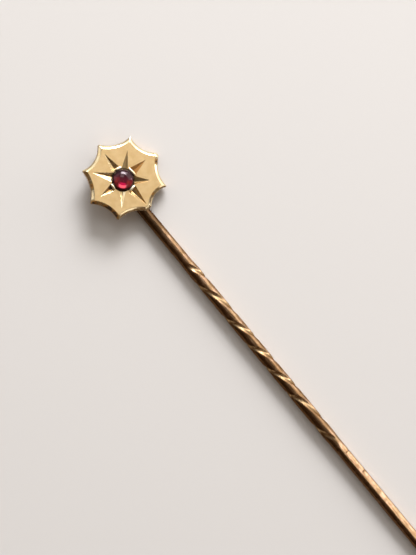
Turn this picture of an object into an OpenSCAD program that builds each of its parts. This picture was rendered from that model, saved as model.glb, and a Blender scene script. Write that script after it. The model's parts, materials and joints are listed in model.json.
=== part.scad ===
// Stick pin: an eight-pointed star head set with a garnet, on a straight stem with a twisted stretch.
// It lies on its back on a flat surface, leaning on one point of the star.
// The pin is drawn with its stem along Y, the head at +Y and the face to +Z, then laid down.

/* [Star head] */
// Distance from the centre of the star to an even point
star_r = 4; // [3:0.05:5]
// Thickness of the plate
plate_t = 0.8; // [0.7:0.05:1.2]
// Width and depth of the bevel round the front edge
bevel = 0.28; // [0.1:0.01:0.35]
// Blunt width of a point that isn't worn
point_w = 0.12; // [0.05:0.01:0.2]
// Turn of the whole star from the line of the stem
star_turn = -3.7; // [-6:0.1:6]
// Distance of the star's centre to the right of the stem's axis
head_off = 0.39; // [0:0.01:0.5]
// Distance of the setting to the left of the star's centre
setting_left = 0.19; // [0:0.01:0.3]
// Distance of the setting below the star's centre, towards the stem
setting_drop = 0.05; // [0:0.01:0.2]

/* [Rays and grains] */
// Depth of a ray at its foot for each millimetre of its width
ray_slope = 0.3; // [0.2:0.01:0.4]
// Distance from the stone's centre at which a ray starts behind its grain
ray_start = 1.26; // [1.24:0.01:1.27]
// Thickness of a grain
grain_t = 0.28; // [0.24:0.01:0.28]
// Distance of a grain's middle outside the seat of the stone
grain_out = 0.05; // [0.05:0.01:0.08]
// Height of a grain's middle above the plate's face
grain_lift = 0.08; // [0.08:0.01:0.1]

/* [Garnet] */
// Width of the stone
stone_w = 2.2; // [2:0.05:2.4]
// Height of the dome above the plate
stone_rise = 0.55; // [0.4:0.05:0.7]
// Depth of the stone's flat base below the plate's face
stone_sink = 0.45; // [0.35:0.05:0.5]
// Depth of the stone's edge, where the dome starts, below the face
stone_edge = 0.12; // [0.1:0.01:0.15]
// Gap between the stone and the metal
stone_gap = 0.02; // [0.01:0.005:0.03]

/* [Stem] */
// Radius of the plain round wire
stem_r = 0.55; // [0.45:0.05:0.6]
// Depth of the stem's axis below the back of the plate
back_h = 0.4; // [0.3:0.05:0.45]
// Distance from the head's centre up to the stem's hidden end
stem_end = 2; // [1:0.1:3]
// Distance from the head's centre down to the start of the point
taper_y = 50; // [45:0.5:60]
// Length of the sharpened point
taper_l = 6; // [4:0.5:8]
// Radius left at the very tip
tip_r = 0.05; // [0.02:0.01:0.1]

/* [Twist] */
// Distance from the axis to the skin of the twisted stretch between its two grooves
twist_r = 0.6; // [0.56:0.01:0.62]
// Depth of the two grooves
groove_depth = 0.1; // [0.04:0.01:0.14]
// Share of a full turn that one groove takes, in degrees
groove_arc = 54; // [40:1:70]
// Length over which the grooves deepen at each end
twist_fade = 1.4; // [1:0.1:4]
// Direction of the first groove where the twist starts, in degrees from +X
groove_turn = 136; // [0:1:360]

/* [Hidden] */
$fn = 96;

gold = [0.89, 0.76, 0.50];
rose_gold = [0.62, 0.42, 0.30];
garnet_red = [0.42, 0.05, 0.11];

// The star's points, counted from +X towards +Y, and the hand-filed hollow that follows each
SLIP = 0;
LONGER = 1;
WORN = 2;
HOLLOW = 3;
POINTS = [
  // degrees off its eighth of a turn, how much longer than star_r, how much blunter than point_w,
  // depth of the hollow in from star_r
  [-0.4, -0.02, 0.26, 0.69],
  [0.3, -0.03, 0, 0.69],
  [1.7, 0, 0, 0.71],
  [-0.9, 0, 0, 0.65],
  [1.1, -0.02, 0, 0.68],
  [0.9, 0, 0, 0.75],
  [3.6, -0.25, 0.48, 0.67],
  [-1.1, 0.12, 0, 0.63],
];

// The engraved rays in the same order, each pointing to one of the star's points
TURN = 0;
REACH = 1;
WIDTH = 2;
VALLEY = 3;
GRAIN_TURN = 4;
GRAIN = 5;
RAYS = [
  // degrees off its eighth of a turn, distance to the tip, width at the foot,
  // how far its deepest line is to the left of its middle, as a share of the width,
  // degrees from the ray's eighth to its grain, length of the grain (0 for none)
  [1.9, 2.9, 0.85, 0, 3, 1],
  [-3.5, 2.86, 0.62, -0.2, 0, 0],
  [-4, 3.03, 0.84, 0.08, -16, 0.72],
  [-7.5, 3, 0.93, 0, 0, 0],
  [-3, 2.7, 0.74, 0, -6, 0.66],
  [2.9, 2.77, 0.64, 0, 0, 0],
  [4.3, 3.25, 0.92, -0.15, 9, 0.7],
  [4.6, 2.6, 0.84, -0.2, 0, 0],
];

// Distance from the head's centre, and how far the wire has been turned there
TWIST = [
  [9.8, 0],
  [12.2, 127],
  [13.9, 217],
  [16.3, 307],
  [17.85, 397],
  [19.65, 487],
  [20.9, 577],
  [22.55, 667],
  [24, 757],
  [25.8, 847],
  [27.05, 937],
  [29.85, 1027],
  [31.85, 1117],
  [32.6, 1150],
];

eighth = 360 / len(POINTS);
face_z = back_h + plate_t;
edge_z = face_z - bevel;
seat_r = stone_w / 2 + stone_gap;
setting = [head_off - setting_left, -setting_drop, face_z];
// A ray without a grain starts this far inside the seat, so that it opens into it
open_foot = 0.1;
// Every cutter stands this far out of what it cuts
cut = 0.2;
// The blank has this much more on each side of a point, for the hollows to cut
spare = 0.15;
// The bevel across a blunt end is this much deeper than the bevels along the hollows
end_drop = 0.03;

twist_top = TWIST[0][0];
twist_bottom = TWIST[len(TWIST) - 1][0];
twist_rings = 82;
// Steps round half of a groove and round the skin from one groove to the next
groove_steps = 2;
skin_steps = 7;
// The twisted wire's ends are sunk this far into the round ones, and are this much thinner there
twist_sink = 0.3;
end_ease = 0.01;

// The pin leans until the back edge of the right-hand point is as low as the twisted stretch
lean_x = head_off + max(corner(0, -1).x, corner(0, 1).x);
lean = atan2(back_h, lean_x) + asin(twist_r / norm([lean_x, back_h]));
left_x = head_off + min(corner(4, -1).x, corner(4, 1).x);
right_edge = lean_x * cos(lean) + edge_z * sin(lean);
left_edge = left_x * cos(lean) + back_h * sin(lean);
top_y = max(corner(2, -1).y, corner(2, 1).y);
bottom_y = -(taper_y + taper_l);

// A point of the star: its direction in degrees from +X, how far it reaches and half its blunt width
function point_turn(i) = i * eighth + star_turn + POINTS[i][SLIP];
function point_r(i) = star_r + POINTS[i][LONGER];
function point_half(i) = (point_w + POINTS[i][WORN]) / 2;

// The place at distance r in direction a, moved sideways by side
function place(r, a, side = 0) = [r * cos(a) - side * sin(a), r * sin(a) + side * cos(a)];
function corner(i, side) = place(point_r(i), point_turn(i), side * point_half(i));

// Centre of the circle through three places
function circle_centre(a, b, c) =
  let (u = b - a, v = c - a, d = 2 * cross(u, v))
    a + [v.y * u * u - u.y * v * v, u.x * v * v - v.x * u * u] / d;

// The hollow after point i: the place of its middle, and its centre
function next(i) = (i + 1) % len(POINTS);
function hollow_middle(i) =
  let (after = point_turn(next(i)) + (next(i) == 0 ? 360 : 0))
    place(star_r - POINTS[i][HOLLOW], (point_turn(i) + after) / 2);
function hollow_centre(i) = circle_centre(corner(i, 1), hollow_middle(i), corner(next(i), -1));

// How deep the grooves are at distance y from the head's centre, from 0 to 1
function twist_share(y) =
  let (u = max(0, min(1, min(y - twist_top, twist_bottom - y) / twist_fade)))
    u * u * (3 - 2 * u);

// Distance from the axis to the wire's skin, at angle a from the middle of a groove
function wire_r(y, a) =
  let (q = twist_share(y), u = a / (groove_arc / 2))
    (1 - q) * (stem_r - end_ease) + q * (twist_r - groove_depth * max(0, 1 - u * u));

// A turned profile, drawn with x as its radius and y as its place along the pin
module turned() {
  rotate([-90, 0, 0])
    rotate_extrude()
      children();
}

// The round wall of one hollow, cut through the plate and opened out by the bevel
module hollow_cutter(i) {
  centre = hollow_centre(i);
  hollow_r = norm(centre - hollow_middle(i));
  translate([centre.x, centre.y, 0]) {
    translate([0, 0, back_h - cut])
      cylinder(r = hollow_r, h = plate_t + 2 * cut);
    translate([0, 0, edge_z])
      cylinder(r1 = hollow_r, r2 = hollow_r + bevel + cut, h = bevel + cut);
  }
}

// The bevel across the blunt end of one point
module point_cutter(i) {
  reach = bevel + end_drop + cut;
  rotate([0, 0, point_turn(i)])
    translate([point_r(i), 0, face_z])
      rotate([90, 0, 0])
        linear_extrude(height = 2 * (point_half(i) + reach), center = true)
          polygon([[cut, -reach], [cut, cut], [-reach, cut]]);
}

// The star's outline before the hollows are cut: the blunt ends of its points, joined by straight lines
module blank_outline() {
  polygon([for (i = [0 : len(POINTS) - 1], side = [-1, 1])
    place(point_r(i), point_turn(i), side * (point_half(i) + spare))]);
}

// One engraved ray: two flat walls that meet in a line rising to the ray's tip
module ray_cutter(ray) {
  start = ray[GRAIN] > 0 ? ray_start : seat_r - open_foot;
  depth = ray[WIDTH] * ray_slope;
  half_w = ray[WIDTH] / 2;
  foot = [start, ray[WIDTH] * ray[VALLEY], -depth];
  rim = [[start, half_w, 0], [start, -half_w, 0], [ray[REACH], 0, 0]];
  grow = 1 + cut / depth;
  polyhedron(
    points = concat([foot], [for (q = rim) foot + grow * (q - foot)]),
    faces = [[0, 1, 2], [0, 3, 1], [0, 2, 3], [1, 3, 2]]);
}

// A grain raised by the graver: a short bar with round ends, lying along the stone's edge
module grain(length) {
  grain_r = grain_t / 2;
  bar_l = length - grain_t;
  translate([seat_r + grain_out, 0, grain_lift])
    rotate([90, 0, 0])
      rotate_extrude()
        intersection() {
          union() {
            for (end = [-1, 1])
              translate([0, end * bar_l / 2])
                circle(r = grain_r, $fn = 48);
            translate([0, -bar_l / 2])
              square([grain_r, bar_l]);
          }
          translate([0, -length])
            square([length, 2 * length]);
        }
}

// The plate with its bevelled edge, rays, grains and the blind seat of the stone
module star_head() {
  color(gold) {
    difference() {
      translate([head_off, 0, 0])
        difference() {
          translate([0, 0, back_h])
            linear_extrude(height = plate_t)
              blank_outline();
          for (i = [0 : len(POINTS) - 1]) {
            hollow_cutter(i);
            point_cutter(i);
          }
        }
      translate(setting) {
        for (i = [0 : len(RAYS) - 1])
          rotate([0, 0, i * eighth + RAYS[i][TURN]])
            ray_cutter(RAYS[i]);
        translate([0, 0, -stone_sink - stone_gap])
          cylinder(r = seat_r, h = stone_sink + stone_gap + cut);
      }
    }
    translate(setting)
      for (i = [0 : len(RAYS) - 1])
        if (RAYS[i][GRAIN] > 0)
          rotate([0, 0, i * eighth + RAYS[i][GRAIN_TURN]])
            grain(RAYS[i][GRAIN]);
  }
}

// The solder that beds the stem on the back of the plate, wide at the plate and narrow at the wire
module solder_bed() {
  bed_y = 3;
  half_w = 0.8;
  neck = [0.5, 0.15];
  sink = 0.1;
  color(gold)
    translate([0, stem_end, 0])
      rotate([90, 0, 0])
        linear_extrude(height = stem_end + bed_y)
          polygon([[-neck.x, neck.y], [-half_w, back_h], [-half_w, back_h + sink],
                   [half_w, back_h + sink], [half_w, back_h], [neck.x, neck.y]]);
}

// The twisted stretch: rings of a circle with two grooves, each turned a little further to the left
module twisted_wire() {
  top = twist_top - twist_sink;
  step = (twist_bottom + twist_sink - top) / (twist_rings - 1);
  skin_step = (180 - groove_arc) / skin_steps;
  half_ring = concat(
    [for (k = [-groove_steps : groove_steps]) k * groove_arc / 2 / groove_steps],
    [for (k = [1 : skin_steps - 1]) groove_arc / 2 + k * skin_step]);
  n = 2 * len(half_ring);
  rings = [for (i = [0 : twist_rings - 1])
    let (y = top + i * step, turn = groove_turn - lookup(y, TWIST))
      for (half = [0, 180], a = half_ring)
        let (r = wire_r(y, a))
          [r * cos(a + half + turn), -y, r * sin(a + half + turn)]];
  sides = [for (i = [0 : twist_rings - 2], k = [0 : n - 1])
    let (a = i * n + k, b = i * n + (k + 1) % n)
      each [[a, b + n, b], [a, a + n, b + n]]];
  last = (twist_rings - 1) * n;
  caps = [[for (k = [0 : n - 1]) k], [for (k = [n - 1 : -1 : 0]) last + k]];
  polyhedron(points = rings, faces = concat(sides, caps));
}

// The wire: a round upper run, the twisted stretch, and a round lower run that ends in a point
module stem() {
  end_cut = 0.15;
  taper_r = (taper_l * taper_l + pow(stem_r - tip_r, 2)) / (2 * (stem_r - tip_r));
  color(rose_gold) {
    turned()
      polygon([[0, -twist_top], [stem_r, -twist_top], [stem_r, stem_end - end_cut],
               [stem_r - end_cut, stem_end], [0, stem_end]]);
    twisted_wire();
    turned()
      translate([0, -taper_y])
        square([stem_r, taper_y - twist_bottom]);
    turned()
      intersection() {
        translate([stem_r - taper_r, -taper_y])
          circle(r = taper_r, $fn = 1200);
        translate([0, bottom_y])
          square([stem_r, taper_l]);
      }
  }
}

// The domed garnet with its flat base
module stone() {
  r = stone_w / 2;
  rise = stone_rise + stone_edge;
  dome_r = (r * r + rise * rise) / (2 * rise);
  color(garnet_red)
    translate(setting)
      rotate_extrude() {
        translate([0, -stone_sink])
          square([r, stone_sink - stone_edge]);
        intersection() {
          translate([0, stone_rise - dome_r])
            circle(r = dome_r);
          translate([0, -stone_edge])
            square([r, rise]);
        }
      }
}

// Lays the pin down: leaned over, standing on z = 0, with the middle of its extents at x = y = 0
module laid_down() {
  translate([-(left_edge + right_edge) / 2, -(top_y + bottom_y) / 2, twist_r])
    rotate([0, lean, 0])
      children();
}

// Head and stem, soldered into one solid
module gold_pin() {
  laid_down() {
    star_head();
    solder_bed();
    stem();
  }
}

module garnet() {
  laid_down()
    stone();
}

gold_pin();
garnet();
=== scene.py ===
import json
import math
from functools import cached_property

import bmesh
import bpy
from mathutils import Matrix, Vector


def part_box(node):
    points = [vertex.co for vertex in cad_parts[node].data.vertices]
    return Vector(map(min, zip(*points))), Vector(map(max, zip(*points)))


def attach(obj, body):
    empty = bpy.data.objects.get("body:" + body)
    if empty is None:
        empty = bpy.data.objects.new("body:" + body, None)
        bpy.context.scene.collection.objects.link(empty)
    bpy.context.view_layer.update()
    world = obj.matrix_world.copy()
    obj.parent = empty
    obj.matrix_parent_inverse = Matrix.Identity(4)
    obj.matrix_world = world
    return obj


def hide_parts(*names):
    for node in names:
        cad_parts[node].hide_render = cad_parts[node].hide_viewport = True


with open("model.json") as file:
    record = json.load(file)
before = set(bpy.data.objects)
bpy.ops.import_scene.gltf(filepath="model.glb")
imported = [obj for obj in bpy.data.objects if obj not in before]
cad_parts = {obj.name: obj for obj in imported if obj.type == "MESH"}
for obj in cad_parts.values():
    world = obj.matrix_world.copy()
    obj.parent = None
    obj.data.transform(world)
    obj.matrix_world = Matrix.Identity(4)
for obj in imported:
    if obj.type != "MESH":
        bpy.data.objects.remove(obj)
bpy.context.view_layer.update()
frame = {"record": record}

# Sizes of the pin, in millimetres. The pin is drawn with the stem's axis along Y, the head's centre at
# y = 0 and the face looking to +Z, then laid down on its back.
MM = 0.001

# The star plate: its bevel, the width of its blunt points, how much wider the bevel is at their ends, and
# how far the whole star is turned
STAR_R = 4.0
PLATE_T = 0.8
BEVEL = 0.28
POINT_W = 0.12
END_DROP = 0.03
STAR_TURN = -3.7

# The star's centre to the right of the stem's axis, the setting to the left of that centre and below it,
# and the stem's axis below the back of the plate
HEAD_OFF = 0.39
SETTING_LEFT = 0.19
SETTING_DROP = 0.05
BACK_H = 0.4

# The stone: its radius, the gap round it, the dome above the face, and its base and edge below the face
STONE_R = 1.1
STONE_GAP = 0.02
STONE_RISE = 0.55
STONE_SINK = 0.45
STONE_EDGE = 0.12

# The rays: depth for each millimetre of width, where one behind a grain starts, and how far into the
# seat the others start
RAY_SLOPE = 0.3
RAY_START = 1.26
OPEN_FOOT = 0.1

# The grains: thickness, and how far their middle is outside the seat and above the face
GRAIN_T = 0.28
GRAIN_OUT = 0.05
GRAIN_LIFT = 0.08

# The stem: its radius, how far it runs above the head's centre, its rounded upper end and its point
STEM_R = 0.55
STEM_END = 2.0
END_CUT = 0.15
POINT_START = 50.0
POINT_END = 56.0
TIP_R = 0.05

# The twist: its radius, and its grooves' depth, arc and first direction in degrees, and run-out
TWIST_R = 0.6
GROOVE_DEPTH = 0.1
GROOVE_ARC = 54.0
GROOVE_TURN = 136.0
TWIST_FADE = 1.4

# Every cutter stands this far out of what it cuts
CUT = 0.2

FACE_Z = BACK_H + PLATE_T
SEAT_R = STONE_R + STONE_GAP
SEAT_FLOOR = STONE_SINK + STONE_GAP
SETTING = Vector((HEAD_OFF - SETTING_LEFT, -SETTING_DROP, FACE_Z))

# How many points, hollows and rays the star has, and the degrees from one to the next
COUNT = 8
EIGHTH = 45

# The star's points from +X towards +Y: degrees off an eighth of a turn, how much longer than STAR_R,
# how much blunter than POINT_W, and the depth of the hand-filed hollow that follows
POINTS = [
    {"slip": -0.4, "longer": -0.02, "worn": 0.26, "hollow": 0.69},
    {"slip": 0.3, "longer": -0.03, "worn": 0.0, "hollow": 0.69},
    {"slip": 1.7, "longer": 0.0, "worn": 0.0, "hollow": 0.71},
    {"slip": -0.9, "longer": 0.0, "worn": 0.0, "hollow": 0.65},
    {"slip": 1.1, "longer": -0.02, "worn": 0.0, "hollow": 0.68},
    {"slip": 0.9, "longer": 0.0, "worn": 0.0, "hollow": 0.75},
    {"slip": 3.6, "longer": -0.25, "worn": 0.48, "hollow": 0.67},
    {"slip": -1.1, "longer": 0.12, "worn": 0.0, "hollow": 0.63},
]

# The engraved rays in the same order: degrees off an eighth, distance to the tip, width at the foot,
# how far the deepest line is to the left as a share of the width, and the turn from the eighth and the
# length of the grain at the foot
RAYS = [
    {"turn": 1.9, "reach": 2.9, "width": 0.85, "valley": 0.0, "grain_turn": 3, "grain": 1.0},
    {"turn": -3.5, "reach": 2.86, "width": 0.62, "valley": -0.2, "grain_turn": 0, "grain": 0},
    {"turn": -4, "reach": 3.03, "width": 0.84, "valley": 0.08, "grain_turn": -16, "grain": 0.72},
    {"turn": -7.5, "reach": 3.0, "width": 0.93, "valley": 0.0, "grain_turn": 0, "grain": 0},
    {"turn": -3, "reach": 2.7, "width": 0.74, "valley": 0.0, "grain_turn": -6, "grain": 0.66},
    {"turn": 2.9, "reach": 2.77, "width": 0.64, "valley": 0.0, "grain_turn": 0, "grain": 0},
    {"turn": 4.3, "reach": 3.25, "width": 0.92, "valley": -0.15, "grain_turn": 9, "grain": 0.7},
    {"turn": 4.6, "reach": 2.6, "width": 0.84, "valley": -0.2, "grain_turn": 0, "grain": 0},
]

# How brown each cut is at its foot and at its tip, as stain together with painted shade, and which of its
# walls faces the lamps and keeps only a share of it, as seen from the stone: 1 for the right-hand one, -1
# for the left-hand one, 0 for none
RAY_STAINS_AND_SHADE = [
    (0.66, 0.56, 0), (0.38, 0.43, 0), (0.18, 0.27, 0), (0.0, 0.1, 0),
    (1.0, 0.0, -1), (0.42, 0.12, -1), (0.9, 0.55, 1), (0.32, 0.4, 0),
]

# Distance from the head's centre, and how far the wire has been turned there, in degrees
TWIST = [
    (9.8, 0), (12.2, 127), (13.9, 217), (16.3, 307), (17.85, 397), (19.65, 487), (20.9, 577),
    (22.55, 667), (24.0, 757), (25.8, 847), (27.05, 937), (29.85, 1027), (31.85, 1117), (32.6, 1150),
]


def place(r, turn, side=0.0):
    """The place at distance r in a direction in degrees, moved sideways to the left of it."""
    a = math.radians(turn)
    return Vector((r * math.cos(a) - side * math.sin(a), r * math.sin(a) + side * math.cos(a)))


def point_turn(i):
    """Direction of a point of the star, counted on past a full turn."""
    return i * EIGHTH + STAR_TURN + POINTS[i % COUNT]["slip"]


def point_r(i):
    """Distance from the star's centre to the end of a point."""
    return STAR_R + POINTS[i % COUNT]["longer"]


def corner(i, side):
    """The right or left corner of a blunt point, for a side of -1 or 1."""
    return place(point_r(i), point_turn(i), side * (POINT_W + POINTS[i % COUNT]["worn"]) / 2)


def lean_of_pin():
    """The pin leans until the back edge of its right-hand point is as low as the twisted stretch."""
    reach = HEAD_OFF + max(corner(0, side).x for side in (-1, 1))
    return math.atan2(BACK_H, reach) + math.asin(TWIST_R / math.hypot(reach, BACK_H))


def laid_down():
    """From the drawn pin in millimetres to the resting pin in metres, by the frame's own stem and head."""
    shank = next(m for m in frame["record"]["mounts"] if m["name"] == "stem_shank")
    top_y = max(corner(2, side).y for side in (-1, 1))
    head_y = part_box("gold_pin")[1][1] - top_y * MM
    axis = Vector((shank["pos_m"][0], head_y, shank["pos_m"][2]))
    return Matrix.Translation(axis) @ Matrix.Rotation(lean_of_pin(), 4, "Y") @ Matrix.Scale(MM, 4)


LAID_DOWN = laid_down()

# Camera: its lean from straight above towards +X and +Y, its roll, how far off it is, where it looks,
# its lens as a focal length in pixels, and the height of its picture and of its sensor
CAMERA_LEAN_X = 5.0
CAMERA_LEAN_Y = 3.0
CAMERA_ROLL = -39.6
CAMERA_OFF = 0.25
LOOK_AT = Vector((0.000087, 0.013515, 0.0))
FOCAL_PX = 2598.7
PICTURE_PX = 555
SENSOR_MM = 24.0


def new_object(name, data):
    """An object in the scene that holds a mesh, a lamp or a camera."""
    thing = bpy.data.objects.new(name, data)
    bpy.context.scene.collection.objects.link(thing)
    return thing


def plain_mesh(name, corners, faces):
    mesh = bpy.data.meshes.new(name)
    mesh.from_pydata(corners, [], faces)
    return mesh


def finished(thing, *spare):
    """The object's mesh with its modifiers applied; the object and the spare ones are removed."""
    graph = bpy.context.evaluated_depsgraph_get()
    mesh = bpy.data.meshes.new_from_object(thing.evaluated_get(graph), depsgraph=graph)
    thing.modifiers.clear()
    for item in (thing, *spare):
        bpy.data.objects.remove(item)
    return mesh


def make_camera():
    """The camera above the pin, turned so that the stem runs from the upper left to the lower right."""
    lean_x, lean_y = math.radians(CAMERA_LEAN_X), math.radians(CAMERA_LEAN_Y)
    back = Vector((math.tan(lean_x), math.tan(lean_y), 1)).normalized()
    right = Vector((0, 1, 0)).cross(back).normalized()
    up = back.cross(right)
    turn = Matrix.Rotation(math.radians(CAMERA_ROLL), 3, back)
    right, up = turn @ right, turn @ up
    data = bpy.data.cameras.new("camera")
    data.sensor_fit = "VERTICAL"
    data.sensor_height = SENSOR_MM
    data.lens = FOCAL_PX * SENSOR_MM / PICTURE_PX
    data.clip_start = 0.01
    camera = new_object("camera", data)
    pose = Matrix((right, up, back)).transposed().to_4x4()
    pose.translation = LOOK_AT + back * CAMERA_OFF
    camera.matrix_world = pose
    bpy.context.scene.camera = camera


def direction(azimuth, elevation):
    """A unit vector from the pin, by its degrees from +X towards +Y and its degrees above the floor."""
    a, e = math.radians(azimuth), math.radians(elevation)
    return Vector((math.cos(e) * math.cos(a), math.cos(e) * math.sin(a), math.sin(e)))


def make_light(name, azimuth, elevation, distance, size, radiance, colour):
    """A soft rectangular lamp that faces the middle of the pin."""
    data = bpy.data.lights.new(name, "AREA")
    data.shape = "RECTANGLE"
    data.size, data.size_y = size
    data.energy = radiance * math.pi * size[0] * size[1]
    data.color = colour
    lamp = new_object(name, data)
    away = direction(azimuth, elevation)
    lamp.location = LOOK_AT + away * distance
    lamp.rotation_euler = away.to_track_quat("Z", "Y").to_euler()
    lamp.visible_camera = False


class Wiring:
    """Adds nodes to a tree and joins them, so that a formula reads as calls."""

    def __init__(self, tree):
        self.tree = tree

    def node(self, kind, inputs=(), **settings):
        """A new node with its settings, and with inputs given in order or by name or number."""
        node = self.tree.nodes.new(kind)
        for name, value in settings.items():
            setattr(node, name, value)
        for key, value in (inputs.items() if isinstance(inputs, dict) else enumerate(inputs)):
            self.put(node.inputs[key], value)
        return node

    def put(self, socket, value):
        if isinstance(value, bpy.types.NodeSocket):
            self.tree.links.new(value, socket)
        elif value is not None:
            socket.default_value = value

    def maths(self, operation, a, b=None, c=None):
        return self.node("ShaderNodeMath", (a, b, c), operation=operation).outputs[0]

    def plus(self, a, b):
        return self.maths("ADD", a, b)

    def minus(self, a, b):
        return self.maths("SUBTRACT", a, b)

    def times(self, a, b):
        return self.maths("MULTIPLY", a, b)

    def ramp(self, value, low, high, out_low=0.0, out_high=1.0, smooth=True):
        """The value moved from one range to another, held at both ends, and eased there if smooth."""
        ends = {"From Min": low, "From Max": high, "To Min": out_low, "To Max": out_high}
        easing = "SMOOTHSTEP" if smooth else "LINEAR"
        node = self.node("ShaderNodeMapRange", {"Value": value, **ends}, interpolation_type=easing)
        return node.outputs["Result"]

    def mix(self, share, first, second):
        """From the first colour at a share of 0 to the second one at a share of 1."""
        colours = [c if isinstance(c, bpy.types.NodeSocket) else (*c, 1) for c in (first, second)]
        inputs = {0: share, 6: colours[0], 7: colours[1]}
        return self.node("ShaderNodeMix", inputs, data_type="RGBA").outputs[2]

    def split(self, vector):
        return self.node("ShaderNodeSeparateXYZ", (vector,)).outputs

    def join(self, x, y, z):
        return self.node("ShaderNodeCombineXYZ", (x, y, z)).outputs[0]


class Shape(Wiring):
    """A Geometry Nodes tree with named inputs."""

    def __init__(self, name, inputs):
        super().__init__(bpy.data.node_groups.new(name, "GeometryNodeTree"))
        face = self.tree.interface
        face.new_socket("Geometry", in_out="INPUT", socket_type="NodeSocketGeometry")
        face.new_socket("Geometry", in_out="OUTPUT", socket_type="NodeSocketGeometry")
        self.values = inputs
        kinds = {int: "Int", float: "Float", bpy.types.Material: "Material", bpy.types.Object: "Object"}
        for label, value in inputs.items():
            face.new_socket(label, in_out="INPUT", socket_type="NodeSocket" + kinds[type(value)])
        self.given = self.node("NodeGroupInput").outputs

    def named(self, name):
        """The value that the base mesh holds under a name."""
        node = self.node("GeometryNodeInputNamedAttribute", {"Name": name}, data_type="FLOAT")
        return node.outputs["Attribute"]

    def realised(self, geometry):
        return self.node("GeometryNodeRealizeInstances", (geometry,)).outputs[0]

    def moved(self, geometry, position=None, offset=None):
        """The geometry with its points put at a position or moved by an offset."""
        inputs = {"Geometry": geometry, "Position": position, "Offset": offset}
        return self.node("GeometryNodeSetPosition", inputs).outputs[0]

    def end(self, geometry):
        """Realises the instances, sets the material and joins the result to the output."""
        inputs = {"Geometry": self.realised(geometry), "Material": self.given["Material"]}
        self.node("NodeGroupOutput", (self.node("GeometryNodeSetMaterial", inputs).outputs[0],))

    def mesh_from(self, base):
        """Runs the tree on a base mesh and gives the result as a plain mesh."""
        carrier = new_object(self.tree.name, base)
        modifier = carrier.modifiers.new("shape", "NODES")
        modifier.node_group = self.tree
        for item in self.tree.interface.items_tree:
            if item.item_type == "SOCKET" and item.in_out == "INPUT" and item.name in self.values:
                modifier[item.identifier] = self.values[item.name]
        return finished(carrier)


# The studio is bright towards a window and dim and warm away from it, and fades over a range of the
# cosine of the angle to the window
BRIGHT_SIDE = direction(50, 10)
SIDE_FADE = (-0.1, 0.4)
DIM_SIDE_COLOUR = (0.13, 0.08, 0.045)
BRIGHT_SIDE_COLOUR = (0.32, 0.31, 0.30)
# The pale floor, and how far it reaches, in metres
FLOOR_COLOUR = (0.62, 0.60, 0.575)
FLOOR_HALF = 1.5

# The lamps: degrees from +X towards +Y and above the floor, distance, width and height, radiance, colour
DAYLIGHT = (0.97, 0.97, 1.0)
PAPER_WHITE = (1.0, 0.99, 0.97)
LAMPS = {
    "window": (36, 26, 0.5, (0.36, 0.25), 6.0, DAYLIGHT),
    "window_pane": (38, 28, 0.5, (0.22, 0.14), 27.0, DAYLIGHT),
    "top_card": (98, 34, 0.6, (0.74, 0.32), 0.85, PAPER_WHITE),
    "overhead": (42, 53, 0.6, (0.24, 0.2), 2.7, PAPER_WHITE),
    "side_card": (-4, 22, 0.6, (0.54, 0.42), 1.9, (1.0, 0.97, 0.93)),
    "small_lamp": (-28, 11, 0.6, (0.10, 0.14), 6.0, (1.0, 0.95, 0.94)),
    "low_card": (-84, 39, 0.6, (0.26, 0.23), 1.5, (1.0, 0.97, 0.92)),
}


def make_studio():
    """The room's light, the lamps and the floor."""
    world = bpy.data.worlds.new("studio")
    world.use_nodes = True
    w = Wiring(world.node_tree)
    away = w.node("ShaderNodeTexCoord").outputs["Generated"]
    facing = w.node("ShaderNodeVectorMath", (away, BRIGHT_SIDE), operation="DOT_PRODUCT")
    share = w.ramp(facing.outputs["Value"], *SIDE_FADE)
    colour = w.mix(share, DIM_SIDE_COLOUR, BRIGHT_SIDE_COLOUR)
    w.put(w.tree.nodes["Background"].inputs["Color"], colour)
    bpy.context.scene.world = world
    bpy.context.scene.view_settings.view_transform = "Standard"
    for name, lamp in LAMPS.items():
        make_light(name, *lamp)
    corners = [(x * FLOOR_HALF, y * FLOOR_HALF, 0) for x, y in ((-1, -1), (1, -1), (1, 1), (-1, 1))]
    floor = new_object("floor", plain_mesh("floor", corners, [(0, 1, 2, 3)]))
    paint = Paint("pale_floor")
    paint.set("Base Color", (*FLOOR_COLOUR, 1))
    paint.set("Roughness", 0.9)
    paint.set("Specular IOR Level", 0.2)
    floor.data.materials.append(paint.material)


class Paint(Wiring):
    """A material, whose patterns lie on the drawn pin in millimetres."""

    def __init__(self, name, metallic=0.0):
        self.material = bpy.data.materials.new(name)
        self.material.use_nodes = True
        super().__init__(self.material.node_tree)
        self.set("Metallic", metallic)

    def set(self, name, value):
        self.put(self.tree.nodes["Principled BSDF"].inputs[name], value)

    @cached_property
    def place_mm(self):
        """The place from the setting: x to the right, y away from the point and z off the face."""
        location, rotation, scale = (LAID_DOWN @ Matrix.Translation(SETTING)).inverted().decompose()
        inputs = {"Vector": self.node("ShaderNodeTexCoord").outputs["Object"], "Location": location,
                  "Rotation": rotation.to_euler(), "Scale": scale}
        return self.node("ShaderNodeMapping", inputs, vector_type="POINT").outputs[0]

    def stored(self, name):
        """The value that the mesh holds under a name."""
        return self.node("ShaderNodeAttribute", attribute_name=name).outputs["Fac"]

    def noise(self, scale, detail, roughness=0.5, stretch=None):
        """Noise between 0 and 1 at a scale in features to the millimetre."""
        vector = self.place_mm
        if stretch:
            vector = self.node("ShaderNodeMapping", {"Vector": vector, "Scale": stretch}).outputs[0]
        inputs = {"Vector": vector, "Scale": scale, "Detail": detail, "Roughness": roughness}
        return self.node("ShaderNodeTexNoise", inputs).outputs[0]

    def raise_by(self, height, strength, distance=0.01 * MM):
        """Shades the surface as if a height between 0 and 1 raised it by up to the distance."""
        inputs = {"Strength": strength, "Distance": distance, "Height": height}
        self.set("Normal", self.node("ShaderNodeBump", inputs).outputs[0])
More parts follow.
